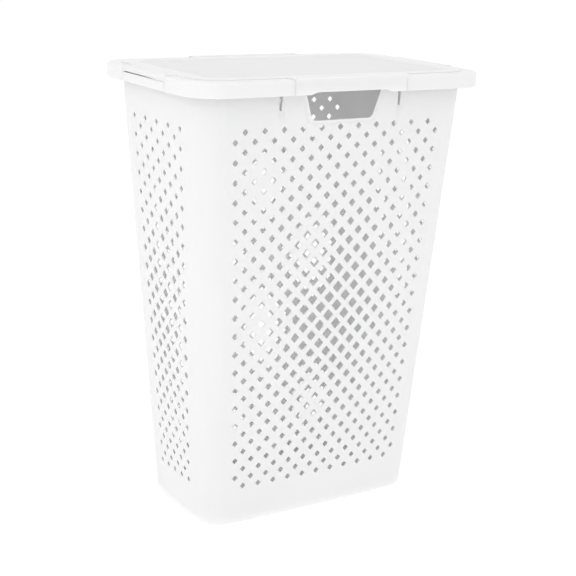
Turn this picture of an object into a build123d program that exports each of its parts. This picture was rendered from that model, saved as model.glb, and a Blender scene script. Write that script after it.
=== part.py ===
"""Slim laundry hamper: a tapered, perforated basket with a lid that nests in its rim and hinges at the back.

Millimetres. +Z is up, the front is -Y, and the origin is the centre of the base on the floor.
The basket is one moulding in reality. It is divided here into its walls, columns and rim lengths,
which meet face to face, so that each is a simple solid. The lid is divided the same way.
"""

import math
import os

from build123d import *

os.makedirs("parts", exist_ok=True)

# Basket walls, measured on the outside
BASE_HALF_X = 167.2
BASE_HALF_Y = 91.2
MOUTH_HALF_X = 205.6
MOUTH_HALF_Y = 120.4
BASE_CORNER_R = 33.0
MOUTH_CORNER_R = 38.0
WALL = 2.0
PAN_TOP_Z = 6.0
FLOOR_TOP_Z = 4.5
FLOOR_UNDER_Z = 2.0
FOOT_WIDTH = 8.0
FOOT_ROUND = 1.2
HAND_PANEL_Z = 543.0
COLUMN_STRIPS = 3
WALL_TOP_Z = 580.0

# Perforation: diamonds in staggered rows, largest at the middle of each wall
ROWS = 39
TOP_ROW_Z = 535.0
BOTTOM_ROW_Z = 53.6
LONG_COLUMNS = 11
LONG_PITCH_TOP = 28.0
LONG_PITCH_BOTTOM = 23.2
SHORT_COLUMNS = 4
SHORT_PITCH_TOP = 32.2
SHORT_PITCH_BOTTOM = 19.4
# Half diagonals at the border and at the middle, and how far the middle's size reaches
LONG_HOLES = (4.2, 8.3, 0.44, 0.37)
SHORT_HOLES = (3.9, 7.4, 0.8, 0.42)
HOLE_FALL_OFF = 1.76
HOLE_STRETCH = 1.03

# Hand holes and the narrow slots beside them
HAND_BOTTOM_Z = 545.0
HAND_HALF_BOTTOM = 45.5
HAND_HALF_TOP = 56.5
HAND_ROUND = 8.0
SLOT_X = 90.5
SLOT_BOTTOM_Z = 559.0
SLOT_HALF_TOP = 2.6
SLOT_HALF_BOTTOM = 1.6

# Rim
RIM_HALF_X = 221.8
RIM_HALF_Y = 141.3
RIM_CORNER_R = 45.0
RIM_TOP_Z = 599.0
RIM_PLATE = 2.5
RIM_ROUND = 4.0
NEST_HALF_X = 206.0
NEST_HALF_Y = 122.5
NEST_CORNER_R = 38.4
LEDGE_Z = 592.0
LOW_RIM_Z = 591.9
LOW_RIM_PLATE = 2.3
END_WALL_BOTTOM_Z = 582.0
LONG_GAP_HALF = 84.6
SHORT_GAP_HALF = 59.0
FRONT_BRIDGE_Y = 138.1
FRONT_BRIDGE_BOTTOM_Z = 585.7
GRIP_Z = 583.1
GRIP_HALF_TOP = 52.0
GRIP_HALF_BOTTOM = 60.0

# Hinge at the back
HINGE_Y = 134.0
HINGE_Z = 594.5
BARREL_R = 6.5
PIN_R = 2.5
SOCKET_R = 2.55
PIN_LENGTH = 8.0
SOCKET_LENGTH = 10.0
SEAT_Z = 587.3
OPENING_ANGLE = 105.0
STOP_R = 7.6
STOP_WIDTH = 1.6

# Lid
LID_GAP = 0.6
LID_BACK_GAP = 1.4
END_GAP = 0.35
LID_TOP_Z = 600.4
LID_PLATE = 2.4
LID_RIB = 2.0
LID_RIB_BOTTOM_Z = 592.3
LID_CORNER_R = NEST_CORNER_R - LID_GAP
PANEL_HALF_X = 185.0
PANEL_HALF_Y = 108.0
PANEL_CORNER_R = 24.0
PANEL_DEPTH = 1.6
PANEL_BEVEL = 2.0
WING_LIP_Z = 593.5
WING_ROUND = 3.5
TAB_TOP_Z = 601.0
TAB_ROUND = 1.0
LID_HALF_X = NEST_HALF_X - LID_GAP
LID_FRONT_Y = LID_GAP - NEST_HALF_Y
LID_BACK_Y = NEST_HALF_Y - LID_BACK_GAP
TAB_HALF = LONG_GAP_HALF - END_GAP
WING_HALF = SHORT_GAP_HALF - END_GAP


def between(low, high, fraction):
    return low + (high - low) * fraction


def half_x(z):
    return between(BASE_HALF_X, MOUTH_HALF_X, z / WALL_TOP_Z)


def half_y(z):
    return between(BASE_HALF_Y, MOUTH_HALF_Y, z / WALL_TOP_Z)


def corner_r(z):
    return between(BASE_CORNER_R, MOUTH_CORNER_R, z / WALL_TOP_Z)


def block(x, y, z):
    """A box between two limits on each axis."""
    size = [high - low for low, high in (x, y, z)]
    centre = [(low + high) / 2 for low, high in (x, y, z)]
    return Pos(*centre) * Box(*size)


def rounded(half_width, half_depth, radius, z=0.0, inset=0.0):
    """A rounded rectangle at height z, drawn in from its outline by inset."""
    width, depth = 2 * (half_width - inset), 2 * (half_depth - inset)
    return Plane.XY.offset(z) * RectangleRounded(width, depth, radius - inset)


def slab(outline, inner, low, high):
    """The ring between two outlines, or the whole outline, from low to high."""
    face = outline - inner if inner else outline
    return Pos(0, 0, low) * extrude(face, high - low)


def write(name, shape):
    export_step(shape, f"parts/{name}.step")


# Floor pan


def floor_pan():
    bottom = rounded(half_x(0), half_y(0), corner_r(0))
    top = rounded(half_x(PAN_TOP_Z), half_y(PAN_TOP_Z), corner_r(PAN_TOP_Z), PAN_TOP_Z)
    body = loft([bottom, top], ruled=True)
    body = fillet(body.edges().group_by(Axis.Z)[0], FOOT_ROUND)
    inner = (half_x(PAN_TOP_Z), half_y(PAN_TOP_Z), corner_r(PAN_TOP_Z))
    body -= slab(rounded(*inner, inset=WALL), None, FLOOR_TOP_Z, PAN_TOP_Z)
    body -= slab(rounded(half_x(0), half_y(0), corner_r(0), inset=FOOT_WIDTH), None, 0, FLOOR_UNDER_Z)
    return body


# Perforated walls


def front_point(across, z):
    return Vector(across, -half_y(z), z)


def left_point(across, z):
    return Vector(-half_x(z), across, z)


def front_edge(z):
    return half_x(z) - corner_r(z)


def left_edge(z):
    return half_y(z) - corner_r(z)


def hole_half(across, up, sizes):
    """Half the diagonal of a hole, from its place on the wall: 0 at the middle, 1 at the border."""
    at_border, at_middle, reach_across, reach_up = sizes
    distance = math.hypot(across / reach_across, up / reach_up)
    return between(at_border, at_middle, math.exp(-0.5 * distance**HOLE_FALL_OFF))


def hole_outlines(point, columns, pitches, sizes, wide_row):
    """One diamond for each hole; the rows of one kind hold columns holes, the others one more."""
    outlines = []
    for row in range(ROWS):
        down = row / (ROWS - 1)
        z = between(TOP_ROW_Z, BOTTOM_ROW_Z, down)
        pitch = between(*pitches, down)
        count = columns + 1 if row % 2 == wide_row else columns
        for column in range(count):
            place = column - (count - 1) / 2
            half = hole_half(place / (columns / 2), 2 * down - 1, sizes)
            wide, tall = half / HOLE_STRETCH, half * HOLE_STRETCH
            centre = place * pitch
            tips = ((centre + wide, z), (centre, z + tall), (centre - wide, z), (centre, z - tall))
            outlines.append(Wire.make_polygon([point(*tip) for tip in tips], close=True))
    return outlines


def wall_outline(point, edge, low, high):
    corners = ((-edge(low), low), (edge(low), low), (edge(high), high), (-edge(high), high))
    return Wire.make_polygon([point(*corner) for corner in corners], close=True)


def front_grille():
    holes = hole_outlines(front_point, LONG_COLUMNS, (LONG_PITCH_TOP, LONG_PITCH_BOTTOM), LONG_HOLES, 1)
    outline = wall_outline(front_point, front_edge, PAN_TOP_Z, HAND_PANEL_Z)
    return extrude(Face(outline, holes), amount=WALL, dir=(0, 1, 0))


def left_grille():
    holes = hole_outlines(left_point, SHORT_COLUMNS, (SHORT_PITCH_TOP, SHORT_PITCH_BOTTOM), SHORT_HOLES, 0)
    outline = wall_outline(left_point, left_edge, PAN_TOP_Z, WALL_TOP_Z)
    return extrude(Face(outline, holes), amount=WALL, dir=(1, 0, 0))


# Hand panels above the long grilles


def hand_hole(high):
    """A cutter along Y for the tapered hand hole, open upwards as far as high."""
    flare = (HAND_HALF_TOP - HAND_HALF_BOTTOM) / (WALL_TOP_Z - HAND_BOTTOM_Z)
    half_high = HAND_HALF_BOTTOM + flare * (high - HAND_BOTTOM_Z)
    corners = (
        (-HAND_HALF_BOTTOM, HAND_BOTTOM_Z),
        (HAND_HALF_BOTTOM, HAND_BOTTOM_Z),
        (half_high, high),
        (-half_high, high),
    )
    profile = Plane.XZ * make_face(Polyline(*corners, close=True))
    cutter = extrude(profile, 2 * RIM_HALF_Y, both=True)
    lower = cutter.edges().filter_by(Axis.Y).group_by(Axis.Z)[0]
    return fillet(lower, HAND_ROUND)


def slot(side):
    corners = (
        (side * SLOT_X - SLOT_HALF_BOTTOM, SLOT_BOTTOM_Z),
        (side * SLOT_X + SLOT_HALF_BOTTOM, SLOT_BOTTOM_Z),
        (side * SLOT_X + SLOT_HALF_TOP, WALL_TOP_Z),
        (side * SLOT_X - SLOT_HALF_TOP, WALL_TOP_Z),
    )
    profile = Plane.XZ * make_face(Polyline(*corners, close=True))
    return extrude(profile, 2 * RIM_HALF_Y, both=True)


def front_hand_panel():
    outline = wall_outline(front_point, front_edge, HAND_PANEL_Z, WALL_TOP_Z)
    panel = extrude(Face(outline), amount=WALL, dir=(0, 1, 0))
    return panel - hand_hole(WALL_TOP_Z + 1) - slot(-1) - slot(1)


# Rounded corner columns, each a fan of strips that meet side to side


def around(radius, angle):
    return radius * math.cos(math.radians(angle)), radius * math.sin(math.radians(angle))


def strip_section(z, first, last):
    """A column strip's section at height z, between two angles about the corner's centre."""
    radius = corner_r(z)
    inner = radius - WALL
    outline = (
        Line(around(inner, first), around(radius, first))
        + CenterArc((0, 0), radius, first, last - first)
        + Line(around(radius, last), around(inner, last))
        + CenterArc((0, 0), inner, last, first - last)
    )
    centre = Pos(half_x(z) - radius, half_y(z) - radius, z)
    return centre * make_face(outline)


def back_right_column():
    width = 90 / COLUMN_STRIPS
    strips = []
    for strip in range(COLUMN_STRIPS):
        turn = (strip * width, (strip + 1) * width)
        strips.append(loft([strip_section(z, *turn) for z in (PAN_TOP_Z, WALL_TOP_Z)], ruled=True))
    return Compound(strips)


# Rim


def mouth_outline(inset=0.0):
    return rounded(MOUTH_HALF_X, MOUTH_HALF_Y, MOUTH_CORNER_R, inset=inset)


def rim_outline(inset=0.0):
    return rounded(RIM_HALF_X, RIM_HALF_Y, RIM_CORNER_R, inset=inset)


def nest_outline(inset=0.0):
    return rounded(NEST_HALF_X, NEST_HALF_Y, NEST_CORNER_R, inset=inset)


def tall_ring():
    """The raised rim, all the way round: band, top plate, upstand, ledge and the wall's last length."""
    ring = slab(rim_outline(), rim_outline(RIM_PLATE), WALL_TOP_Z, RIM_TOP_Z)
    ring += slab(rim_outline(), nest_outline(), RIM_TOP_Z - RIM_PLATE, RIM_TOP_Z)
    ring += slab(nest_outline(-WALL), nest_outline(), LEDGE_Z - WALL, RIM_TOP_Z)
    ring += slab(nest_outline(-WALL), mouth_outline(WALL), LEDGE_Z - WALL, LEDGE_Z)
    ring += slab(mouth_outline(), mouth_outline(WALL), WALL_TOP_Z, LEDGE_Z)
    outer_edges = ring.faces().sort_by(Axis.Z)[-1].outer_wire().edges()
    return fillet(outer_edges, RIM_ROUND)


def low_ring():
    """The lowered rim of the short sides, all the way round."""
    ring = slab(rim_outline(), rim_outline(RIM_PLATE), WALL_TOP_Z, LOW_RIM_Z)
    ring += slab(rim_outline(), mouth_outline(WALL), LOW_RIM_Z - LOW_RIM_PLATE, LOW_RIM_Z)
    ring += slab(mouth_outline(), mouth_outline(WALL), WALL_TOP_Z, LOW_RIM_Z)
    outer_edges = ring.faces().sort_by(Axis.Z)[-1].outer_wire().edges()
    return fillet(outer_edges, TAB_ROUND)


CHANNEL_Y = (NEST_HALF_Y + WALL, RIM_HALF_Y - RIM_PLATE)
CHANNEL_X = (NEST_HALF_X + WALL, RIM_HALF_X - RIM_PLATE)
CHANNEL_Z = (END_WALL_BOTTOM_Z, RIM_TOP_Z - RIM_PLATE)
ALL_Z = (0, 2 * RIM_TOP_Z)


def back_right_rim_corner(tall):
    """A raised corner, with the wall that closes its end beside the short side's gap."""
    far = 2 * RIM_HALF_X
    corner = tall & block((LONG_GAP_HALF, far), (SHORT_GAP_HALF, far), ALL_Z)
    return corner + block(CHANNEL_X, (SHORT_GAP_HALF, SHORT_GAP_HALF + RIM_PLATE), CHANNEL_Z)


def socket_bore():
    """A cutter for the right-hand hinge pin's bore, which also grooves the rim's top plate from below."""
    return hinge_rod(SOCKET_R, LONG_GAP_HALF - 1, TAB_HALF + PIN_LENGTH + 1)


def back_right_end_wall():
    """The wall that closes a raised corner beside the long side's gap, where there is no hinge."""
    return block((LONG_GAP_HALF, LONG_GAP_HALF + RIM_PLATE), CHANNEL_Y, CHANNEL_Z)


def right_bridge():
    far = 2 * RIM_HALF_X
    return low_ring() & block((0, far), (-SHORT_GAP_HALF, SHORT_GAP_HALF), ALL_Z)


def grip_notch():
    """A cutter along Y for the shallow notch over each hand hole."""
    corners = (
        (-GRIP_HALF_BOTTOM, WALL_TOP_Z),
        (GRIP_HALF_BOTTOM, WALL_TOP_Z),
        (GRIP_HALF_TOP, GRIP_Z),
        (-GRIP_HALF_TOP, GRIP_Z),
    )
    profile = Plane.XZ * make_face(Polyline(*corners, close=True))
    return extrude(profile, 2 * RIM_HALF_Y, both=True)


ACROSS_GAP = (-LONG_GAP_HALF, LONG_GAP_HALF)


def front_bridge():
    """The lowered rim behind the lid's pull tab."""
    plate_z = LOW_RIM_Z - LOW_RIM_PLATE
    wall = block(ACROSS_GAP, (-MOUTH_HALF_Y, WALL - MOUTH_HALF_Y), (WALL_TOP_Z, plate_z))
    wall -= hand_hole(FRONT_BRIDGE_BOTTOM_Z)
    plate = block(ACROSS_GAP, (-FRONT_BRIDGE_Y, WALL - MOUTH_HALF_Y), (plate_z, LOW_RIM_Z))
    band_y = (-FRONT_BRIDGE_Y, LOW_RIM_PLATE - FRONT_BRIDGE_Y)
    return wall + plate + block(ACROSS_GAP, band_y, (FRONT_BRIDGE_BOTTOM_Z, plate_z))


def back_bridge():
    """The lowered rim that seats the lid's hinge barrel."""
    plate_z = SEAT_Z - LOW_RIM_PLATE
    wall = block(ACROSS_GAP, (MOUTH_HALF_Y - WALL, MOUTH_HALF_Y), (WALL_TOP_Z, plate_z))
    wall -= hand_hole(plate_z)
    plate = block(ACROSS_GAP, (MOUTH_HALF_Y - WALL, RIM_HALF_Y), (plate_z, SEAT_Z))
    band = block(ACROSS_GAP, (RIM_HALF_Y - RIM_PLATE, RIM_HALF_Y), (WALL_TOP_Z, plate_z))
    bridge = wall + plate + (band - grip_notch())
    top_edge = bridge.edges().filter_by(Axis.X).group_by(Axis.Z)[-1].sort_by(Axis.Y)[-1]
    return fillet(top_edge, TAB_ROUND)


def hinge_rod(radius, low, high):
    """A cylinder on the hinge axis between two places along X."""
    return Pos((low + high) / 2, HINGE_Y, HINGE_Z) * Rot(0, 90, 0) * Cylinder(radius, high - low)


def right_socket():
    body = block((LONG_GAP_HALF, LONG_GAP_HALF + SOCKET_LENGTH), CHANNEL_Y, CHANNEL_Z)
    return body - socket_bore()


# Lid


def lid_outline(inset=0.0):
    """The nested part of the lid, which clears the rim by more at the back, where it swings up."""
    centre_y = (LID_FRONT_Y + LID_BACK_Y) / 2
    return Pos(0, centre_y) * rounded(LID_HALF_X, LID_BACK_Y - centre_y, LID_CORNER_R, inset=inset)


def lid_panel():
    outline = lid_outline()
    rib_inner = lid_outline(LID_RIB)
    plate_z = LID_TOP_Z - LID_PLATE
    body = slab(outline, None, plate_z, LID_TOP_Z)
    body += slab(outline, rib_inner, LID_RIB_BOTTOM_Z, plate_z)
    panel = (PANEL_HALF_X, PANEL_HALF_Y, PANEL_CORNER_R)
    body += slab(rounded(*panel, inset=-WALL), None, plate_z - PANEL_DEPTH, plate_z)
    sunken = rounded(*panel, LID_TOP_Z - PANEL_DEPTH, inset=PANEL_BEVEL)
    return body - loft([sunken, rounded(*panel, LID_TOP_Z)], ruled=True)


def lid_right_wing():
    across = (-WING_HALF, WING_HALF)
    wing = block((LID_HALF_X, RIM_HALF_X), across, (LID_TOP_Z - LID_PLATE, LID_TOP_Z))
    wing += block((RIM_HALF_X - LID_PLATE, RIM_HALF_X), across, (WING_LIP_Z, LID_TOP_Z))
    top_edge = wing.edges().filter_by(Axis.Y).group_by(Axis.Z)[-1].sort_by(Axis.X)[-1]
    return fillet(top_edge, WING_ROUND)


def lid_front_tab():
    across = (-TAB_HALF, TAB_HALF)
    tab = block(across, (-RIM_HALF_Y, LID_FRONT_Y), (TAB_TOP_Z - LID_PLATE, TAB_TOP_Z))
    skirt = block(across, (-RIM_HALF_Y, LID_PLATE - RIM_HALF_Y), (WALL_TOP_Z, TAB_TOP_Z))
    tab += skirt - grip_notch()
    top_edge = tab.edges().filter_by(Axis.X).group_by(Axis.Z)[-1].sort_by(Axis.Y)[0]
    return fillet(top_edge, TAB_ROUND)


def lid_hinge_barrel():
    """The barrel, the plate that joins it to the panel, and the lip that stops the lid when open."""
    barrel = hinge_rod(BARREL_R, -TAB_HALF, TAB_HALF)
    plate_z = (TAB_TOP_Z - LID_PLATE, TAB_TOP_Z)
    barrel += block((-TAB_HALF, TAB_HALF), (LID_BACK_Y, HINGE_Y), plate_z)
    reach = math.degrees(math.asin((HINGE_Z - SEAT_Z) / STOP_R))
    half_lip = math.degrees(math.atan(STOP_WIDTH / 2 / STOP_R))
    lip = Box(2 * TAB_HALF, STOP_R, STOP_WIDTH)
    raised = OPENING_ANGLE - reach + half_lip + 1.0
    place = Pos(0, HINGE_Y, HINGE_Z) * Rot(raised, 0, 0) * Pos(0, STOP_R / 2, 0)
    return barrel + place * lip


def hinge_pin(side):
    inner, outer = sorted((side * TAB_HALF, side * (TAB_HALF + PIN_LENGTH)))
    return hinge_rod(PIN_R, inner, outer)


def mirrored_x(shape):
    return mirror(shape, about=Plane.YZ)


def mirrored_y(shape):
    return mirror(shape, about=Plane.XZ)


front, left = front_grille(), left_grille()
hand_panel = front_hand_panel()
column = back_right_column()
corner = back_right_rim_corner(tall_ring())
hinge_corner = corner - socket_bore()
plain_corner = corner + back_right_end_wall()
side_bridge = right_bridge()
socket = right_socket()
wing = lid_right_wing()

PARTS = {
    "floor_pan": floor_pan(),
    "front_grille": front,
    "back_grille": mirrored_y(front),
    "left_grille": left,
    "right_grille": mirrored_x(left),
    "front_hand_panel": hand_panel,
    "back_hand_panel": mirrored_y(hand_panel),
    "column_back_right": column,
    "column_back_left": mirrored_x(column),
    "column_front_right": mirrored_y(column),
    "column_front_left": mirrored_x(mirrored_y(column)),
    "rim_corner_back_right": hinge_corner,
    "rim_corner_back_left": mirrored_x(hinge_corner),
    "rim_corner_front_right": mirrored_y(plain_corner),
    "rim_corner_front_left": mirrored_x(mirrored_y(plain_corner)),
    "rim_right_bridge": side_bridge,
    "rim_left_bridge": mirrored_x(side_bridge),
    "rim_front_bridge": front_bridge(),
    "rim_back_bridge": back_bridge(),
    "hinge_sockets": Compound([mirrored_x(socket), socket]),
    "lid_panel": lid_panel(),
    "lid_right_wing": wing,
    "lid_left_wing": mirrored_x(wing),
    "lid_front_tab": lid_front_tab(),
    "lid_hinge_barrel": lid_hinge_barrel(),
    "lid_hinge_pins": Compound([hinge_pin(-1), hinge_pin(1)]),
}

for name, shape in PARTS.items():
    write(name, shape)
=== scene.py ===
"""The looks of a slim laundry hamper: one perforated basket, its rim, and the lid that nests in it.

Lengths are in millimetres until a piece is made, in the CAD frame: +Z up, the front towards -Y.
"""

import math

import bpy
from mathutils import Matrix, Vector
from mathutils.geometry import delaunay_2d_cdt, normal as polygon_normal


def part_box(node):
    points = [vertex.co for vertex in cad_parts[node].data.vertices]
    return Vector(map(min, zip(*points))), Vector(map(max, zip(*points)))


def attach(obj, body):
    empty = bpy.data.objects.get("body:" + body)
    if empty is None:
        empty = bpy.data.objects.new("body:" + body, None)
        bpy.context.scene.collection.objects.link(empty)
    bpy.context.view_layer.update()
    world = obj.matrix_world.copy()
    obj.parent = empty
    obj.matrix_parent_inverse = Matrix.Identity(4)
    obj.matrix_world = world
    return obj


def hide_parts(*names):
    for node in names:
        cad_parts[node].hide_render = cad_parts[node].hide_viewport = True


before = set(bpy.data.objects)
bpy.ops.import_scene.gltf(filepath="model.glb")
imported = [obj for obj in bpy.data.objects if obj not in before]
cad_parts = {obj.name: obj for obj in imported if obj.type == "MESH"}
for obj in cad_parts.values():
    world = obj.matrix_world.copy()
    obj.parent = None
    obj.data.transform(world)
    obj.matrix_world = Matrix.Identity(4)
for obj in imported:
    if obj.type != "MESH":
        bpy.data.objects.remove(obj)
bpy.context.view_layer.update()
MM = 0.001


def highest(node, axis):
    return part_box(node)[1][axis] / MM


def lowest(node, axis):
    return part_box(node)[0][axis] / MM


# Basket walls. The floor pan's solid is a little wider at its top than at its base.
PAN_FLARE_X, PAN_FLARE_Y = 0.4, 0.3
BASE_HALF_X = highest("floor_pan", 0) - PAN_FLARE_X
BASE_HALF_Y = highest("floor_pan", 1) - PAN_FLARE_Y
MOUTH_HALF_X = highest("right_grille", 0)
MOUTH_HALF_Y = highest("column_back_right", 1)
WALL_TOP = highest("right_grille", 2)
BASE_CORNER = 33.0
MOUTH_CORNER = 38.0
WALL = 2.0
WALL_END = 590.0
BACK_WALL_END = 585.0
FLOOR_TOP = 4.5
FLOOR_UNDER = 2.0
FOOT_WIDTH = 8.0
FOOT_ROUND = 1.2
FOOT_SOFT = 0.5
SKIRT_START = 8.0
LONG_BOW = 3.7
BOW_PLACE = 225.0
BOW_REACH = 110.0
CORNER_PULL = 3.6
PULL_END = WALL_TOP

# Perforation, the same law as the walls' solids
ROWS = 39
TOP_ROW = 535.0
BOTTOM_ROW = 53.6
LONG_HOLES = dict(columns=11, wide=1, pitch=(28.0, 23.2), border=4.2, middle=8.3, reach=(0.44, 0.37))
SHORT_HOLES = dict(columns=4, wide=0, pitch=(32.2, 19.4), border=3.9, middle=7.4, reach=(0.8, 0.42))
HOLE_FALL_OFF = 1.76
HOLE_STRETCH = 1.03
HOLE_CORNER = 0.9
HOLE_EDGE = 0.7

# Hand holes and slots
HAND_BOTTOM = 545.0
HAND_HALF_BOTTOM = 45.5
HAND_HALF_TOP = 56.5
BACK_HAND_TOP = 583.6
FRONT_HAND_TOP = 585.4
HAND_ROUND = 8.0
HAND_TOP_ROUND = 1.5
HAND_EDGE = 0.8
HAND_RAISE = 3.0
RAISE_WIDTH = 5.0
SLOT_PLACE = 90.5
SLOT_HALF_TOP = 2.6
SLOT_HALF_BOTTOM = 1.6
SLOT_BOTTOM = 559.0
SLOT_TOP = 578.0
SLOT_ROUND = 1.2
SLOT_SINK = 1.5
SINK_WIDTH = 4.0
SLEEVE = 1.2
SLEEVE_DEPTH = 6.0
SLEEVE_EDGE = 0.3

# Rim
RIM = (highest("rim_corner_back_right", 0), highest("rim_corner_back_right", 1), 45.0)
RIM_TOP = highest("rim_corner_back_right", 2)
NEST = (206.0, 122.5, 38.4)
MOUTH = (MOUTH_HALF_X, MOUTH_HALF_Y, MOUTH_CORNER)
RIM_PLATE = 2.5
RIM_ROUND = 4.0
LEDGE = 592.0
LOW_RIM = highest("rim_right_bridge", 2)
END_WALL_RISE = 2.0
LONG_GAP = 84.6
SHORT_GAP = 59.0
FRONT_SEAT_Y = 138.1
FRONT_SEAT_BOTTOM = 585.7
BACK_SEAT = highest("rim_back_bridge", 2)
GRIP_TOP = 583.1
GRIP_HALF_TOP = 52.0
GRIP_HALF_BOTTOM = 60.0

# Lid. It fills more of the gap round it than its solid does, so that the seams are fine.
SEAM_FILL = 0.45
TAB_SEAM_FILL = 0.3
LID_TOP = highest("lid_panel", 2)
LID_SIDE = highest("lid_panel", 0) + SEAM_FILL
LID_FRONT = lowest("lid_panel", 1) - SEAM_FILL
LID_BACK = highest("lid_panel", 1)
LID_CORNER = 38.2
LID_PLATE = 2.4
RIB_BOTTOM = 592.3
# The lip of a wing is lower at its ends, LIP_END, and rises from the front one over a long stretch
LIP_BOTTOM = 593.3
LIP_END = 592.0
LIP_RISE_START = 15.0
LIP_RISE_END = 60.0
LIP_FALL_START = 6.0
LIP_FALL_END = 2.5
PANEL = (185.0, 108.0, 24.0)
PANEL_DEPTH = 1.6
PANEL_BEVEL = 2.0
BEVEL_LEAN = 25
LID_RIB = 2.0
LID_SOFT = 0.4
BORDER_EDGE = 0.4
TAB_EDGE = 1.0
LIP_EDGE = 3.5
INNER_ROUND = 0.8
STEP_START = 1.2
STEP_END = 2.6
TAB_TOP = highest("lid_front_tab", 2)
TAB_HALF = highest("lid_front_tab", 0) + TAB_SEAM_FILL
WING_HALF = highest("lid_right_wing", 1)
HINGE_Y = 134.0
HINGE_Z = 594.5
BARREL_R = 6.5
STOP_ANGLE = 40.7
STOP_HALF = 7.0
STOP_HEIGHT = 1.1


def between(low, high, share):
    return low + (high - low) * share


def smooth(share):
    share = min(1.0, max(0.0, share))
    return share * share * (3 - 2 * share)


def unit(vector):
    return vector / vector.length


# A face is shaded flat when its corners' normals agree with it less than this
FLAT_BELOW = 0.3
# How far through a rounded edge its middle lies
ROUND_MID = 0.3


class Skin:
    """A mesh in the making: points in millimetres, and faces whose corners each have their own normal."""

    def __init__(self):
        self.points, self.index = [], {}
        self.corners, self.faces, self.finishes = [], [], []

    def corner(self, point, normal):
        key = (round(point[0], 3), round(point[1], 3), round(point[2], 3))
        if key not in self.index:
            self.index[key] = len(self.points)
            self.points.append(Vector(point))
        self.corners.append((self.index[key], Vector(normal).normalized()))
        return len(self.corners) - 1

    def row(self, places):
        return [self.corner(point, normal) for point, normal in places]

    def add(self, faces, finish=0):
        """Adds faces that are wound alike. A face that its corners' normals don't fit is shaded flat."""
        kept, agreement = [], 0.0
        for face in faces:
            after = face[1:] + face[:1]
            face = [c for c, d in zip(face, after) if self.corners[c][0] != self.corners[d][0]]
            if len({self.corners[c][0] for c in face}) < 3:
                continue
            turn = polygon_normal([self.points[self.corners[c][0]] for c in face])
            facing = sum((self.corners[c][1] for c in face), Vector()).normalized()
            kept.append((face, turn, facing))
            agreement += turn.dot(facing)
        for face, turn, facing in kept:
            if agreement < 0:
                face, turn = face[::-1], -turn
            if turn.dot(facing) < FLAT_BELOW:
                face = [self.corner(self.points[self.corners[c][0]], turn) for c in face]
            self.faces.append(face)
            self.finishes.append(finish)

    def strip(self, a, b, closed=True, finish=0):
        count = len(a) if closed else len(a) - 1
        following = [(i + 1) % len(a) for i in range(count)]
        self.add([[a[i], a[j], b[j], b[i]] for i, j in enumerate(following)], finish)

    def sweep(self, rows, closed=True):
        for a, b in zip(rows, rows[1:]):
            self.strip(a, b, closed)

    def cap(self, ring, normal, finish=0):
        """A flat face across a ring of corners."""
        self.add([[self.corner(self.points[self.corners[c][0]], normal) for c in ring]], finish)

    def piece(self, name, body, finishes, nodes):
        mesh = bpy.data.meshes.new(name)
        faces = [[self.corners[c][0] for c in face] for face in self.faces]
        mesh.from_pydata([point * MM for point in self.points], [], faces)
        for finish in finishes:
            mesh.materials.append(finish)
        mesh.polygons.foreach_set("use_smooth", [True] * len(faces))
        mesh.polygons.foreach_set("material_index", self.finishes)
        mesh.normals_split_custom_set([self.corners[c][1] for face in self.faces for c in face])
        mesh.update()
        obj = bpy.data.objects.new(name, mesh)
        bpy.context.scene.collection.objects.link(obj)
        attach(obj, body)
        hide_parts(*nodes)
        return obj


class Outline:
    """A polygon with rounded corners, anticlockwise, that can be drawn again at any inset."""

    def __init__(self, corners, radii, steps):
        self.places = []
        count = len(corners)
        for i, corner in enumerate(corners):
            before, here, after = Vector(corners[i - 1]), Vector(corner), Vector(corners[(i + 1) % count])
            first, second = (here - before).normalized(), (after - here).normalized()
            out_first, out_second = Vector((first.y, -first.x)), Vector((second.y, -second.x))
            sign = 1.0 if first.cross(second) >= 0 else -1.0
            mitre = (out_first + out_second) / (1 + out_first.dot(out_second))
            for step in range(steps[i] + 1):
                angle = math.atan2(out_first.cross(out_second), out_first.dot(out_second))
                turn = Matrix.Rotation(angle * step / max(steps[i], 1), 2)
                self.places.append((here, mitre, sign, radii[i], turn @ out_first))

    def at(self, i, inset):
        here, mitre, sign, radius, out = self.places[i]
        left = max(radius - sign * inset, 0.0)
        return here - mitre * (inset + sign * left) + out * (sign * left), out

    def ring(self, inset=0.0):
        return [self.at(i, inset) for i in range(len(self.places))]


def rounded_box(half_x, half_y, radius, steps=14):
    corners = [(half_x, -half_y), (half_x, half_y), (-half_x, half_y), (-half_x, -half_y)]
    return Outline(corners, [radius] * 4, [steps] * 4)


def leaning(outline, inset, z, lean):
    """A ring of an outline at one height, with normals that lean outwards from straight up."""
    level, rise = math.sin(math.radians(lean)), math.cos(math.radians(lean))
    return [((p.x, p.y, z), (out.x * level, out.y * level, rise)) for p, out in outline.ring(inset)]


def fill(polygons, lines=(), points=()):
    """Triangles that fill the first polygon outside the others, as (points, triangles)."""
    flat, faces, edges = [], [], []
    for polygon in polygons:
        faces.append(list(range(len(flat), len(flat) + len(polygon))))
        flat.extend(polygon)
    for line in lines:
        edges.extend((len(flat) + i, len(flat) + i + 1) for i in range(len(line) - 1))
        flat.extend(line)
    flat.extend(points)
    flat = [Vector(point) for point in flat]
    out, _, triangles, origin, _, owners = delaunay_2d_cdt(flat, edges, faces, 1, 1e-4)
    exact = [flat[ids[0]] if ids else point for point, ids in zip(out, origin)]
    return exact, [list(t) for t, owner in zip(triangles, owners) if list(owner) == [0]]


# Basket walls: four sides, numbered anticlockwise from +X, each followed by its rounded corner


def side_axes(side):
    turn = math.radians(90 * side)
    return Vector((math.cos(turn), math.sin(turn))), Vector((-math.sin(turn), math.cos(turn)))


SIDES = [side_axes(side) for side in range(4)]
FRONT, BACK = 3, 1
UP, DOWN = Vector((0, 0, 1)), Vector((0, 0, -1))
HAND_TOP = {BACK: BACK_HAND_TOP, FRONT: FRONT_HAND_TOP}


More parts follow.
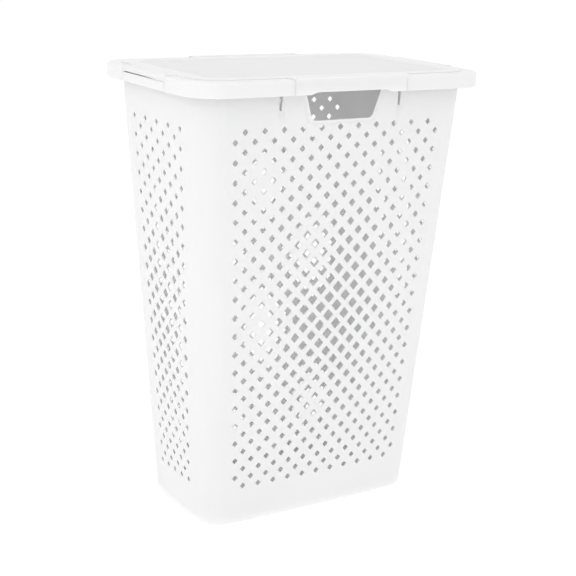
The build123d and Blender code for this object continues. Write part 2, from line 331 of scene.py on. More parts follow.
def taper(base, mouth, z):
    return between(base, mouth, min(z, WALL_TOP) / WALL_TOP)


def corner_radius(z):
    return taper(BASE_CORNER, MOUTH_CORNER, z)


def half_sizes(side, z):
    """How far the side stands from the centre, and half the length of its flat."""
    sizes = taper(BASE_HALF_X, MOUTH_HALF_X, z), taper(BASE_HALF_Y, MOUTH_HALF_Y, z)
    reach, along = sizes if side % 2 == 0 else sizes[::-1]
    return reach, along - corner_radius(z)


def pull(z):
    """How far the corners are drawn in, most at the base."""
    return CORNER_PULL * max(0.0, 1 - z / PULL_END)


def hand_half(z):
    flare = (HAND_HALF_TOP - HAND_HALF_BOTTOM) / (WALL_TOP - HAND_BOTTOM)
    return HAND_HALF_BOTTOM + flare * (z - HAND_BOTTOM)


def bow(side, share, z):
    """How far a side stands out of its plane. The long ones swell, and are raised around their hand holes."""
    swell = 0.0
    if side % 2:
        swell = LONG_BOW * math.exp(-(((z - BOW_PLACE) / BOW_REACH) ** 2)) * (1 - share * share) ** 2
        along = abs(share) * half_sizes(side, z)[1]
        beyond = max(along - hand_half(z), HAND_BOTTOM - z)
        swell += HAND_RAISE * (1 - smooth((beyond - 1) / RAISE_WIDTH))
        beside = max(abs(along - SLOT_PLACE) - SLOT_HALF_TOP, SLOT_BOTTOM - z)
        swell -= SLOT_SINK * (1 - smooth(beside / SINK_WIDTH))
    return swell - pull(z) * share**4


def wall_place(side, share, turn, z, depth):
    """A point on the wall: share runs along the flat from -1 to 1, and then turn goes round the corner."""
    reach, flat = half_sizes(side, z)
    if turn:
        radius = corner_radius(z)
        arm = radius - pull(z) - depth
        out, along = reach - radius + arm * math.cos(turn), flat + arm * math.sin(turn)
    else:
        out, along = reach + bow(side, share, z) - depth, share * flat
    normal, tangent = SIDES[side]
    plan = normal * out + tangent * along
    return Vector((plan.x, plan.y, z))


def wall_normal(side, share, turn, z):
    step = 0.01
    if turn:
        across = wall_place(side, share, turn + step, z, 0) - wall_place(side, share, turn - step / 2, z, 0)
    else:
        across = wall_place(side, share + step, 0, z, 0) - wall_place(side, share - step, 0, z, 0)
    up = wall_place(side, share, turn, z + 1, 0) - wall_place(side, share, turn, z - 1, 0)
    return across.cross(up).normalized()


CORNER_STEPS = 14
LEVELS = [SKIRT_START, 70, 140, 210, 280, 350, 420, 480, PULL_END, WALL_TOP, WALL_END]
FLAT_SHARES = [-1, -0.92, -0.8, -0.6, -0.3, 0, 0.3, 0.6, 0.8, 0.92]


def hole_half(across, up, law):
    distance = math.hypot(across / law["reach"][0], up / law["reach"][1])
    return between(law["border"], law["middle"], math.exp(-0.5 * distance**HOLE_FALL_OFF))


def diamonds(law):
    """The outline of each hole on one side, in the side's own plane."""
    found = []
    for row in range(ROWS):
        down = row / (ROWS - 1)
        z = between(TOP_ROW, BOTTOM_ROW, down)
        pitch = between(*law["pitch"], down)
        count = law["columns"] + (row % 2 == law["wide"])
        for column in range(count):
            place = column - (count - 1) / 2
            half = hole_half(place / (law["columns"] / 2), 2 * down - 1, law)
            wide, tall, centre = half / HOLE_STRETCH, half * HOLE_STRETCH, place * pitch
            tips = [(centre + wide, z), (centre, z + tall), (centre - wide, z), (centre, z - tall)]
            found.append((Outline(tips, [min(HOLE_CORNER, 0.25 * half)] * 4, [2] * 4), HOLE_EDGE))
    return found


def hand_hole(side):
    top = HAND_TOP[side]
    half = [(HAND_HALF_BOTTOM, HAND_BOTTOM), (HAND_HALF_TOP, WALL_TOP), (hand_half(top), top)]
    corners = half + [(-x, z) for x, z in half[::-1]]
    radii = [HAND_ROUND, 0, HAND_TOP_ROUND]
    steps = [8, 0, 3]
    return Outline(corners, radii + radii[::-1], steps + steps[::-1]), HAND_EDGE


def slot(place):
    low, high = SLOT_HALF_BOTTOM, SLOT_HALF_TOP
    bottom = [(place - low, SLOT_BOTTOM), (place + low, SLOT_BOTTOM)]
    top = [(place + high, SLOT_TOP), (place - high, SLOT_TOP)]
    return Outline(bottom + top, [SLOT_ROUND] * 4, [3] * 4), HOLE_EDGE


def side_outline(side):
    """The side's own edge, with a vertex wherever its neighbours have one."""
    edge = [(half_sizes(side, z)[1], z) for z in LEVELS]
    foot = half_sizes(side, SKIRT_START)[1]
    bottom = [(share * foot, SKIRT_START) for share in FLAT_SHARES[1:]]
    lowered = [(LONG_GAP, WALL_END), (LONG_GAP, BACK_WALL_END)]
    lowered += [(-x, z) for x, z in lowered[::-1]]
    top = lowered if side == BACK else []
    return bottom + edge + top + [(-x, z) for x, z in edge[::-1]]


def spare_points(side):
    """Points inside a side that let the mesh follow its curves, close together round the openings."""
    flat = [(x, z) for z in (28, 553, 566) for x in range(-150, 151, 30)]
    spare = [(x, z) for x, z in flat if abs(x) < half_sizes(side, z)[1] - 12]
    if side % 2:
        spare = [(x, z) for x, z in spare if z < 500 or abs(x) > 100]
        for z in range(543, 580, 4):
            spare += [(sign * (hand_half(z) + out), z) for out in (2, 3.5, 5, 7) for sign in (-1, 1)]
        spare += [(x, HAND_BOTTOM - out) for x in range(-44, 45, 4) for out in (2, 3.5, 5)]
        offsets = (-6.6, -5, -3.8, 3.8, 5, 6.6)
        around = [sign * (SLOT_PLACE + offset) for sign in (-1, 1) for offset in offsets]
        spare += [(x, z) for x in around for z in range(556, 580, 4)]
    return spare


def cut_wall(skin, side):
    """The flat of one side, inside and out, with the surface of every hole through it."""
    law = LONG_HOLES if side % 2 else SHORT_HOLES
    loops = diamonds(law)
    flat_top = half_sizes(side, WALL_TOP)[1]
    crease = [[(-flat_top, WALL_TOP), (flat_top, WALL_TOP)]]
    if side % 2:
        hand, edge = hand_hole(side)
        ends = [place for place, _ in hand.ring(-edge) if abs(place.y - WALL_TOP) < 1]
        left, right = min(ends, key=lambda p: p.x), max(ends, key=lambda p: p.x)
        crease = [[(-flat_top, WALL_TOP), left], [right, (flat_top, WALL_TOP)]]
        loops += [(hand, edge), slot(-SLOT_PLACE), slot(SLOT_PLACE)]

    def place(point, depth):
        share = point[0] / half_sizes(side, point[1])[1]
        return wall_place(side, share, 0, point[1], depth)

    def facing(point):
        return wall_normal(side, point[0] / half_sizes(side, point[1])[1], 0, point[1])

    sleeved = range(len(loops) - 2, len(loops)) if side % 2 else ()
    for depth, sign in ((0, 1), (WALL, -1)):
        borders = [side_outline(side)]
        for i, (loop, edge) in enumerate(loops):
            grow = SLEEVE if depth and i in sleeved else edge
            borders.append([point for point, _ in loop.ring(-grow)])
        points, triangles = fill(borders, crease, spare_points(side))
        surface = [skin.corner(place(p, depth), facing(p) * sign) for p in points]
        skin.add([[surface[i] for i in triangle] for triangle in triangles])

    tangent = SIDES[side][1]
    for i, (loop, edge) in enumerate(loops):
        # Rings through the opening: how far outside its edge, how deep, and how far the normal turns
        course = [(edge, 0, 0), (ROUND_MID * edge, ROUND_MID * edge, 45), (0, edge, 90)]
        if i in sleeved:
            end = SLEEVE_DEPTH - SLEEVE_EDGE
            course += [(0, end, 90), (SLEEVE_EDGE, SLEEVE_DEPTH, 135)]
            course += [(SLEEVE - SLEEVE_EDGE, SLEEVE_DEPTH, 225), (SLEEVE, end, 270), (SLEEVE, WALL, 270)]
        else:
            course += [(0, WALL - edge, 90), (edge, WALL, 180)]
        rows = []
        for grow, depth, lean in course:
            ring = []
            for point, out in loop.ring(-grow):
                front = facing(point)
                into = -Vector((tangent.x * out.x, tangent.y * out.x, out.y))
                lean_by = math.radians(lean)
                ring.append((place(point, depth), front * math.cos(lean_by) + into * math.sin(lean_by)))
            rows.append(skin.row(ring))
        skin.sweep(rows)
    top = [p for p in side_outline(side) if p[1] >= BACK_WALL_END]
    outer, inner = (skin.row([(place(p, depth), UP) for p in top]) for depth in (0, WALL))
    skin.strip(outer, inner, closed=False)


def round_corner(skin, side):
    """The rounded corner that follows a side, from the skirt to the rim."""
    columns = []
    for step in range(CORNER_STEPS + 1):
        turn = math.pi / 2 * step / CORNER_STEPS
        following = (side + 1) % 4
        spot = (side, 1, turn) if step < CORNER_STEPS else (following, -1, 0)
        facing = [wall_normal(*spot, z) for z in LEVELS]
        outer = skin.row([(wall_place(*spot, z, 0), n) for z, n in zip(LEVELS, facing)])
        inner = skin.row([(wall_place(*spot, z, WALL), -n) for z, n in zip(LEVELS, facing)])
        columns.append((outer, inner))
    for (outer, inner), (next_outer, next_inner) in zip(columns, columns[1:]):
        skin.strip(outer, next_outer, closed=False)
        skin.strip(inner, next_inner, closed=False)
        skin.cap([outer[-1], next_outer[-1], next_inner[-1], inner[-1]], UP)


def perimeter():
    """Places all round the foot of the walls, where the sides and corners above have their vertices."""
    spots = []
    for side in range(4):
        spots += [(side, share, 0) for share in FLAT_SHARES]
        spots += [(side, 1, math.pi / 2 * step / CORNER_STEPS) for step in range(CORNER_STEPS)]
    return spots


def floor_rings(skin):
    """The foot, the pan's underside and the floor inside."""
    spots = perimeter()

    def ring(z, depth, lean, sign=1):
        angle = math.radians(lean)
        places = []
        for spot in spots:
            out = wall_normal(*spot, SKIRT_START) * sign
            level = Vector((out.x, out.y, 0)).normalized()
            normal = level * math.cos(angle) + UP * math.sin(angle)
            places.append((wall_place(*spot, z, depth), normal))
        return skin.row(places)

    first = skin.row([(wall_place(*spot, SKIRT_START, 0), wall_normal(*spot, SKIRT_START)) for spot in spots])
    rows = [first]
    for lean in (0, -30, -60, -90):
        angle = math.radians(lean)
        rows.append(ring(FOOT_ROUND * (1 + math.sin(angle)), FOOT_ROUND * (1 - math.cos(angle)), lean))
    rows.append(ring(0, FOOT_WIDTH - FOOT_SOFT, -90))
    rows.append(ring(FOOT_SOFT, FOOT_WIDTH, 0, -1))
    rows.append(ring(FLOOR_UNDER, FOOT_WIDTH + FOOT_SOFT, 0, -1))
    skin.sweep(rows)
    skin.cap(rows[-1], DOWN)
    fillet = SKIRT_START - FLOOR_TOP
    walls = [(wall_place(*spot, SKIRT_START, WALL), -wall_normal(*spot, SKIRT_START)) for spot in spots]
    inside = [skin.row(walls)]
    for lean in (30, 60, 90):
        angle = math.radians(lean)
        z, depth = SKIRT_START - fillet * math.sin(angle), WALL + fillet * (1 - math.cos(angle))
        inside.append(ring(z, depth, lean, -1))
    skin.sweep(inside)
    skin.cap(inside[-1], UP)


def make_walls(finish):
    skin = Skin()
    for side in range(4):
        cut_wall(skin, side)
        round_corner(skin, side)
    floor_rings(skin)
    columns = [f"column_{y}_{x}" for y in ("front", "back") for x in ("left", "right")]
    grilles = [f"{side}_grille" for side in ("front", "back", "left", "right")]
    nodes = ["floor_pan", "front_hand_panel", "back_hand_panel", *columns, *grilles]
    return skin.piece("basket_walls", "basket", [finish], nodes)


# Rim: sections swept round the corners and straight across the gaps


def soften(section, radii, steps=4):
    """Rounds each corner of a closed section. Returns each point with its direction of travel."""
    softened = []
    for i, (here, radius) in enumerate(zip(section, radii)):
        here = Vector(here)
        back = unit(Vector(section[i - 1]) - here)
        ahead = unit(Vector(section[(i + 1) % len(section)]) - here)
        if not radius:
            softened += [(here, -back), (here, ahead)]
            continue
        for step in range(steps + 1):
            turn = math.pi / 2 * step / steps
            point = here + (back * (1 - math.sin(turn)) + ahead * (1 - math.cos(turn))) * radius
            softened.append((point, ahead * math.sin(turn) - back * math.cos(turn)))
    return softened


def turned(corners):
    """1 if a closed section runs anticlockwise, or else -1."""
    area = sum(a[0] * b[1] - a[1] * b[0] for a, b in zip(corners, corners[1:] + corners[:1]))
    return 1 if area > 0 else -1


def leg_stations(quadrant):
    """Places round a raised corner, as the plan point and direction that an outline has there."""
    sign_x, sign_y = quadrant

    def along_x(place):
        return lambda o, d: (
            Vector((sign_x * place, sign_y * o[1])),
            Vector((0, sign_y * d[1])),
            Vector((sign_x, 0)),
        )

    def along_y(place):
        return lambda o, d: (
            Vector((sign_x * o[0], sign_y * place)),
            Vector((sign_x * d[0], 0)),
            Vector((0, -sign_y)),
        )

    def on_arc(turn):
        cos, sin = math.cos(turn), math.sin(turn)
        return lambda o, d: (
            Vector((sign_x * (o[0] - o[2] * (1 - cos)), sign_y * (o[1] - o[2] * (1 - sin)))),
            Vector((sign_x * (d[0] - d[2] * (1 - cos)), sign_y * (d[1] - d[2] * (1 - sin)))),
            Vector((sign_x * sin, -sign_y * cos)),
        )

    steps = 16
    arc = [on_arc(math.pi / 2 * (1 - step / steps)) for step in range(steps + 1)]
    return [along_x(LONG_GAP), along_x(LONG_GAP + 1)] + arc + [along_y(SHORT_GAP + 1), along_y(SHORT_GAP)]


def raised_section():
    """The rim's section at a corner, each point an outline and a height."""
    wall_in = tuple(size - WALL for size in MOUTH)
    nest_out = tuple(size + WALL for size in NEST)
    band_in = tuple(size - RIM_PLATE for size in RIM)
    plate = RIM_TOP - RIM_PLATE
    corners = [
        (*RIM, WALL_TOP),
        (*RIM, RIM_TOP),
        (*NEST, RIM_TOP),
        (*NEST, LEDGE),
        (*wall_in, LEDGE),
        (*wall_in, WALL_END),
        (*nest_out, WALL_END),
        (*nest_out, plate),
        (*band_in, plate),
        (*band_in, WALL_TOP),
    ]
    radii = [0.7, RIM_ROUND, 0.3, 0.5, 0.6, 0.0, 0.5, 1.0, 1.0, 0.7]
    return soften(corners, radii)


def raised_corner(skin, quadrant):
    section = raised_section()
    flipped = -1 if quadrant[0] * quadrant[1] < 0 else 1
    rows = []
    for station in leg_stations(quadrant):
        places = []
        for point, direction in section:
            plan, slope, along = station(point, direction)
            travel = Vector((slope.x, slope.y, direction[3]))
            normal = Vector((along.x, along.y, 0)).cross(travel) * -flipped
            places.append(((plan.x, plan.y, point[3]), normal))
        rows.append(skin.row(places))
    skin.sweep(rows)
    skin.cap(rows[0], (-quadrant[0], 0, 0))
    skin.cap(rows[-1], (0, -quadrant[1], 0))


def straight(skin, section, radii, axis, span, floor=None):
    """Sweeps a section, given as (distance out, height), along X or Y between the places in span.
    axis is the side that it belongs to. floor gives the lowest height allowed at a place."""
    normal, tangent = SIDES[axis]
    softened = soften(section, radii)
    spin = turned(section)
    rows = []
    for place in span:
        places = []
        for point, direction in softened:
            z = max(point[1], floor(place)) if floor else point[1]
            plan = normal * point[0] + tangent * place
            out, up = direction[1] * spin, -direction[0] * spin
            places.append(((plan.x, plan.y, z), (normal.x * out, normal.y * out, up)))
        rows.append(skin.row(places))
    skin.sweep(rows)
    skin.cap(rows[0], (-tangent.x, -tangent.y, 0))
    skin.cap(rows[-1], (tangent.x, tangent.y, 0))


def block(skin, x, y, z):
    """A box with softened long edges, lying along X."""
    section = [(-y[0], z[0]), (-y[1], z[0]), (-y[1], z[1]), (-y[0], z[1])]
    straight(skin, section, [0.2] * 4, FRONT, x)


def grip(place):
    """The lower edge of a band at a place along it, with the shallow notch over a hand hole."""
    slope = (GRIP_HALF_BOTTOM - abs(place)) / (GRIP_HALF_BOTTOM - GRIP_HALF_TOP)
    return WALL_TOP + (GRIP_TOP - WALL_TOP) * min(1.0, max(0.0, slope))


GRIP_SPAN = [-GRIP_HALF_BOTTOM, -GRIP_HALF_TOP, GRIP_HALF_TOP, GRIP_HALF_BOTTOM]


def bridge_section(out, wall_in, low, high, wall_end):
    """A lowered stretch of rim: its band hangs from a plate that reaches in over the wall's end."""
    band = out - RIM_PLATE
    return [(out, low), (out, high), (wall_in, high), (wall_in, wall_end), (band, wall_end), (band, low)]


def make_rim(finish):
    skin = Skin()
    for quadrant in ((1, 1), (-1, 1), (-1, -1), (1, -1)):
        raised_corner(skin, quadrant)
    wall_x, wall_y = MOUTH_HALF_X - WALL, MOUTH_HALF_Y - WALL
    for side in (0, 2):
        section = bridge_section(RIM[0], wall_x, WALL_TOP, LOW_RIM, WALL_END)
        straight(skin, section, [0.7, 1.0, 0.6, 0, 0.5, 0.7], side, (-SHORT_GAP, SHORT_GAP))
    section = bridge_section(FRONT_SEAT_Y, wall_y, FRONT_SEAT_BOTTOM, LOW_RIM, WALL_END)
    straight(skin, section, [0.5, 1.0, 0.6, 0, 0.5, 0.5], FRONT, (-LONG_GAP, LONG_GAP))
    section = bridge_section(RIM[1], wall_y, WALL_TOP, BACK_SEAT, BACK_WALL_END)
    straight(skin, section, [0.7, 1.0, 0.6, 0, 0.2, 0.7], BACK, (-LONG_GAP, *GRIP_SPAN, LONG_GAP), grip)
    # Walls that close the hollow ends of the raised corners
    end_z = (WALL_TOP + END_WALL_RISE, RIM_TOP - RIM_PLATE)
    for sign_x in (-1, 1):
        x = sorted((sign_x * LONG_GAP, sign_x * (LONG_GAP + RIM_PLATE)))
        block(skin, x, (RIM_PLATE - RIM[1], -NEST[1] - WALL), end_z)
        for sign_y in (-1, 1):
            x = sorted((sign_x * (NEST[0] + WALL), sign_x * (RIM[0] - RIM_PLATE)))
            y = sorted((sign_y * SHORT_GAP, sign_y * (SHORT_GAP + RIM_PLATE)))
            block(skin, x, y, end_z)
    corners = [f"rim_corner_{y}_{x}" for y in ("front", "back") for x in ("left", "right")]
    bridges = [f"rim_{side}_bridge" for side in ("front", "back", "left", "right")]
    return skin.piece("basket_rim", "basket", [finish], corners + bridges)


# Lid


def lid_corners():
    """The right half of the lid's outline, from the front to the back: x, y, corner radius, rounding of
    the top edge, and how low the edge reaches before and after the corner."""
    out_x, out_y, skirt_in = RIM[0], -RIM[1], LID_PLATE - RIM[1]
    tab_under = TAB_TOP - LID_PLATE
    return [
        (GRIP_HALF_TOP, out_y, 0, TAB_EDGE, GRIP_TOP, GRIP_TOP),
        (GRIP_HALF_BOTTOM, out_y, 0, TAB_EDGE, WALL_TOP, WALL_TOP),
        (TAB_HALF, out_y, 0.3, 0.5, WALL_TOP, WALL_TOP),
        (TAB_HALF, skirt_in, 0, BORDER_EDGE, WALL_TOP, RIB_BOTTOM),
        (TAB_HALF, LID_FRONT - STEP_END, 0, BORDER_EDGE, RIB_BOTTOM, RIB_BOTTOM),
        (TAB_HALF, LID_FRONT - STEP_START, 0, BORDER_EDGE, RIB_BOTTOM, RIB_BOTTOM),
        (TAB_HALF, LID_FRONT, INNER_ROUND, BORDER_EDGE, RIB_BOTTOM, RIB_BOTTOM),
        (LID_SIDE, LID_FRONT, LID_CORNER, BORDER_EDGE, RIB_BOTTOM, RIB_BOTTOM),
        (LID_SIDE, -WING_HALF, INNER_ROUND, BORDER_EDGE, RIB_BOTTOM, LIP_END),
        (out_x, -WING_HALF, 2.0, 1.6, LIP_END, LIP_END),
        (out_x, LIP_RISE_START - WING_HALF, 0, LIP_EDGE, LIP_END, LIP_END),
        (out_x, LIP_RISE_END - WING_HALF, 0, LIP_EDGE, LIP_BOTTOM, LIP_BOTTOM),
        (out_x, WING_HALF - LIP_FALL_START, 0, LIP_EDGE, LIP_BOTTOM, LIP_BOTTOM),
        (out_x, WING_HALF - LIP_FALL_END, 0, LIP_EDGE, LIP_END, LIP_END),
        (out_x, WING_HALF, 2.0, 1.6, LIP_END, LIP_END),
        (LID_SIDE, WING_HALF, INNER_ROUND, BORDER_EDGE, LIP_END, RIB_BOTTOM),
        (LID_SIDE, LID_BACK, LID_CORNER, 0.6, RIB_BOTTOM, RIB_BOTTOM),
        (TAB_HALF, LID_BACK, INNER_ROUND, BORDER_EDGE, RIB_BOTTOM, tab_under),
        (TAB_HALF, LID_BACK + STEP_START, 0, BORDER_EDGE, tab_under, tab_under),
        (TAB_HALF, LID_BACK + STEP_END, 0, BORDER_EDGE, tab_under, tab_under),
        (TAB_HALF, HINGE_Y, 0, BORDER_EDGE, tab_under, tab_under),
    ]


def lid_height(point):
    """The lid's top: the tab at the front and the hinge plate stand a little higher than the border."""
    beyond = max(LID_FRONT - point[1], point[1] - LID_BACK)
    share = (beyond - STEP_START) / (STEP_END - STEP_START)
    return between(LID_TOP, TAB_TOP, min(1.0, max(0.0, share)))


def step_lines(border):
    """Lines across the plate at the start and the end of each of its two low steps."""
    lines = []
    for place in (LID_FRONT - STEP_END, LID_FRONT - STEP_START, LID_BACK + STEP_START, LID_BACK + STEP_END):
        ends = sorted(point.x for point in border if abs(point.y - place) < 1e-4)
        lines.append([(ends[0], place), (ends[-1], place)])
    return lines


def lid_edge(skin):
    """The lid's edge, from its top round to the inside. Returns the plan of its first and last ring."""
    right = lid_corners()
    left = [(-x, y, radius, edge, after, before) for x, y, radius, edge, before, after in right[::-1]]
    table = right + left
    steps = [20 if row[2] > 10 else (4 if row[2] else 1) for row in table]
    outline = Outline([row[:2] for row in table], [row[2] for row in table], steps)
    owners = [(row, step / count) for row, count in zip(table, steps) for step in range(count + 1)]
    soft = LID_SOFT
    rows = [[] for _ in range(10)]
    for i, ((_, _, _, edge, before, after), share) in enumerate(owners):
        bottom = between(before, after, share)
        top = lid_height(outline.at(i, 0)[0])
        reach = LID_PLATE if outline.at(i, 0)[0].y < LID_FRONT - 1 else LID_RIB
        # Rings from the top edge down and round to the underside: inset, height, and turn of the normal
        turns = [math.radians(lean) for lean in (0, 30, 60, 90)]
        course = [(edge * (1 - math.sin(a)), top - edge * (1 - math.cos(a)), a) for a in turns]
        middle = ROUND_MID * soft
        course += [(0, bottom + soft, math.pi / 2), (middle, bottom + middle, 0.75 * math.pi)]
        course += [(soft, bottom, math.pi), (reach - soft, bottom, math.pi)]
        course += [(reach, bottom + soft, 1.5 * math.pi), (reach, top - LID_PLATE, 1.5 * math.pi)]
        for row, (inset, z, lean) in zip(rows, course):
            point, out = outline.at(i, inset)
            level = out * math.sin(lean)
            row.append(((point.x, point.y, z), (level.x, level.y, math.cos(lean))))
    skin.sweep([skin.row(row) for row in rows])
    return [[Vector(place[:2]) for place, _ in row] for row in (rows[0], rows[-1])]


def lid_face(skin, border, panel, drop, normal):
    """The lid's top, or its underside when drop is the plate's thickness, outside the panel."""
    points, triangles = fill([border, [point for point, _ in panel.ring()]], step_lines(border))
    face = [skin.corner((p[0], p[1], lid_height(p) - drop), normal) for p in points]
    skin.add([[face[i] for i in triangle] for triangle in triangles])


def sunken_panel(skin, panel):
    bevel = []
    start_in, start_down = 0.3, 0.12
    course = [(0, 0, 0), (start_in, start_down, BEVEL_LEAN)]
    course += [(PANEL_BEVEL - start_in, PANEL_DEPTH - start_down, BEVEL_LEAN), (PANEL_BEVEL, PANEL_DEPTH, 0)]
    for inset, drop, lean in course:
        bevel.append(skin.row(leaning(panel, inset, LID_TOP - drop, -lean)))
    skin.sweep(bevel)
    # The panel's floor takes the second finish: real grain, and a darker colour that is painted shade of that
    # grain
    skin.cap(bevel[-1], UP, finish=1)


def under_panel(skin, under):
    """The panel's own thickness, standing down from the lid's underside."""
    ledge = []
    for inset, drop, lean in ((0, 0, 90), (0, PANEL_DEPTH - LID_SOFT, 90), (LID_SOFT, PANEL_DEPTH, 180)):
        ledge.append(skin.row(leaning(under, inset, LID_TOP - LID_PLATE - drop, lean)))
    skin.sweep(ledge)
    skin.cap(ledge[-1], DOWN)


def lid_ribs(skin):
    """Ribs that close the border where the tab, the hinge plate and the wings leave it."""
    ribs_z = (RIB_BOTTOM, LID_TOP - LID_PLATE + 0.2)
    for y in (LID_FRONT, LID_BACK - WALL):
        block(skin, (-TAB_HALF, TAB_HALF), (y, y + WALL), ribs_z)
    for side in (0, 2):
        rib_in, (low_z, high_z) = LID_SIDE - WALL, ribs_z
        section = [(rib_in, low_z), (LID_SIDE, low_z), (LID_SIDE, high_z), (rib_in, high_z)]
        straight(skin, section, [0.2] * 4, side, (-WING_HALF, WING_HALF))


def make_lid(plain, grain_and_painted_shade):
    skin = Skin()
    top_border, under_border = lid_edge(skin)
    panel = rounded_box(*PANEL)
    lid_face(skin, top_border, panel, 0, UP)
    sunken_panel(skin, panel)
    under = rounded_box(*[size + WALL for size in PANEL])
    lid_face(skin, under_border, under, LID_PLATE, DOWN)
    under_panel(skin, under)
    lid_ribs(skin)
    nodes = ["lid_panel", "lid_left_wing", "lid_right_wing", "lid_front_tab"]
    return skin.piece("lid_shell", "lid", [plain, grain_and_painted_shade], nodes)


def make_barrel(finish):
    """The hinge barrel, with the ridge that stops the lid when it is open."""
    skin = Skin()
    angles = sorted(set(range(0, 360, 10)) | {STOP_ANGLE + shift for shift in (-9, -7, -5, 5, 7, 9)})
    ends = [(0.0, 0.5, 45), (0.15, 0.15, 25), (0.5, 0.0, 0)]
    stations = [(inward - TAB_HALF, shrink, lean) for inward, shrink, lean in ends]
    stations += [(TAB_HALF - inward, shrink, lean) for inward, shrink, lean in ends[::-1]]
    rows = []
    for place, shrink, lean in stations:
        ring = []
        for angle in angles:
            ridge = STOP_HEIGHT * smooth((STOP_HALF + 2 - abs(angle - STOP_ANGLE)) / 3)
            a, tilt = math.radians(angle), math.radians(lean) * (1 if place > 0 else -1)
            radius = BARREL_R + ridge - shrink
            point = (place, HINGE_Y + radius * math.cos(a), HINGE_Z + radius * math.sin(a))
            ring.append((point, (math.sin(tilt), math.cos(a) * math.cos(tilt), math.sin(a) * math.cos(tilt))))
        rows.append(skin.row(ring))
    skin.sweep(rows)
    skin.cap(rows[0], (-1, 0, 0))
    skin.cap(rows[-1], (1, 0, 0))
    return skin.piece("lid_barrel", "lid", [finish], ["lid_hinge_barrel"])


# Materials


def moulded(name, shade, through, roughness, grain_size, grain_depth):
    """White moulded plastic that lets some light through, slightly uneven in tone and gloss, with a fine
    grain in relief.
    """
    material = bpy.data.materials.new(name)
    material.use_nodes = True
    nodes, links = material.node_tree.nodes, material.node_tree.links
    shader = nodes["Principled BSDF"]
    shader.inputs["IOR"].default_value = 1.49
    shader.inputs["Subsurface Weight"].default_value = through
    shader.inputs["Subsurface Scale"].default_value = 5 * MM
    shader.inputs["Subsurface Radius"].default_value = (1, 1, 1)
    place = nodes.new("ShaderNodeTexCoord").outputs["Object"]

    def noise(scale, detail=3.0):
        node = nodes.new("ShaderNodeTexNoise")
        node.inputs["Scale"].default_value = scale
        node.inputs["Detail"].default_value = detail
        links.new(place, node.inputs["Vector"])
        return node.outputs["Fac"]

    def spread(value, low, high):
        node = nodes.new("ShaderNodeMapRange")
        node.inputs["From Min"].default_value, node.inputs["From Max"].default_value = 0.3, 0.7
        node.inputs["To Min"].default_value, node.inputs["To Max"].default_value = low, high
        links.new(value, node.inputs["Value"])
        return node.outputs["Result"]

    tone = nodes.new("ShaderNodeMix")
    tone.data_type = "RGBA"
    links.new(spread(noise(9.0), 0.0, 1.0), tone.inputs["Factor"])
    tone.inputs["A"].default_value = (*[c * 0.99 for c in shade], 1)
    tone.inputs["B"].default_value = (*shade, 1)
    links.new(tone.outputs["Result"], shader.inputs["Base Color"])
    links.new(spread(noise(30.0), roughness - 0.04, roughness + 0.04), shader.inputs["Roughness"])
    bump = nodes.new("ShaderNodeBump")
    bump.inputs["Strength"].default_value = 1.0
    bump.inputs["Distance"].default_value = grain_depth * MM
    links.new(noise(1 / (grain_size * MM), 2.0), bump.inputs["Height"])
    links.new(bump.outputs["Normal"], shader.inputs["Normal"])
    return material


wall_plastic = moulded("wall_plastic", (0.91, 0.91, 0.91), 0.8, 0.42, 1.5, 0.01)
rim_plastic = moulded("rim_plastic", (0.83, 0.83, 0.83), 0.5, 0.42, 1.5, 0.01)
lid_plastic = moulded("lid_plastic", (0.86, 0.86, 0.86), 0.5, 0.45, 1.5, 0.01)
# The sunken panel's finish is darker than the lid's. Partly real grain and rougher gloss, partly painted
# shade standing for the grain's relief in the light
lid_grain_painted_shade = moulded("lid_grain_painted_shade", (0.79, 0.79, 0.79), 0.5, 0.55, 0.9, 0.06)

make_walls(wall_plastic)
make_rim(rim_plastic)
make_lid(lid_plastic, lid_grain_painted_shade)
make_barrel(lid_plastic)
for name, finish in (("hinge_sockets", rim_plastic), ("lid_hinge_pins", lid_plastic)):
    for material_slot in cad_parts[name].material_slots:
        material_slot.material = finish


# Floor, light and camera, in metres


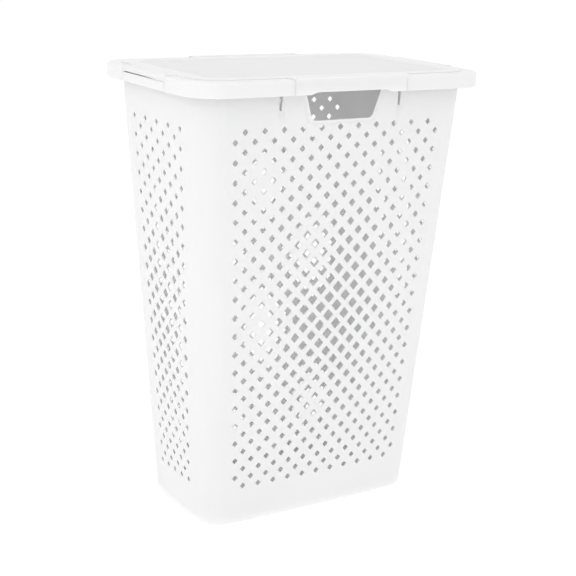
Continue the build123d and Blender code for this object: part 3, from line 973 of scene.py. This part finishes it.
def make_floor():
    mesh = bpy.data.meshes.new("floor")
    far = 30.0
    mesh.from_pydata([(-far, -far, 0), (far, -far, 0), (far, far, 0), (-far, far, 0)], [], [(0, 1, 2, 3)])
    pale = bpy.data.materials.new("pale_floor")
    pale.use_nodes = True
    shader = pale.node_tree.nodes["Principled BSDF"]
    shader.inputs["Base Color"].default_value = (0.5, 0.5, 0.5, 1)
    shader.inputs["Roughness"].default_value = 1.0
    shader.inputs["Specular IOR Level"].default_value = 0.0
    shader.inputs["Emission Color"].default_value = (1, 1, 1, 1)
    shader.inputs["Emission Strength"].default_value = 0.53
    mesh.materials.append(pale)
    floor = bpy.data.objects.new("floor", mesh)
    bpy.context.scene.collection.objects.link(floor)


def make_light():
    world = bpy.data.worlds.new("studio")
    world.use_nodes = True
    world.node_tree.nodes["Background"].inputs["Color"].default_value = (1, 1, 1, 1)
    world.node_tree.nodes["Background"].inputs["Strength"].default_value = 1.0
    bpy.context.scene.world = world
    light = bpy.data.lights.new("softbox", "AREA")
    light.shape = "SQUARE"
    light.size = 1.2
    light.energy = 3.2
    softbox = bpy.data.objects.new("softbox", light)
    place = Vector((-1.5, -0.9, 1.1))
    aim = (place - Vector((0, 0, 0.35))).to_track_quat("Z", "Y").to_matrix().to_4x4()
    softbox.matrix_world = Matrix.Translation(place) @ aim
    bpy.context.scene.collection.objects.link(softbox)


CAMERA_PLACE = (-0.9433, -1.4905, 0.7816)
CAMERA_AZIMUTH, CAMERA_ELEVATION, CAMERA_ROLL = -32.43, 15.52, -1.951
CAMERA_LENS, CAMERA_SENSOR = 81.97, 36.0


def make_camera():
    azimuth, elevation = math.radians(CAMERA_AZIMUTH), math.radians(CAMERA_ELEVATION)
    level = math.cos(elevation)
    backward = Vector((math.sin(azimuth) * level, -math.cos(azimuth) * level, math.sin(elevation)))
    aim = backward.to_track_quat("Z", "Y").to_matrix().to_4x4()
    camera = bpy.data.objects.new("camera", bpy.data.cameras.new("camera"))
    camera.data.lens, camera.data.sensor_width = CAMERA_LENS, CAMERA_SENSOR
    roll = Matrix.Rotation(math.radians(-CAMERA_ROLL), 4, "Z")
    camera.matrix_world = Matrix.Translation(CAMERA_PLACE) @ aim @ roll
    bpy.context.scene.collection.objects.link(camera)
    bpy.context.scene.camera = camera


make_floor()
make_light()
make_camera()
bpy.context.scene.view_settings.view_transform = "Standard"
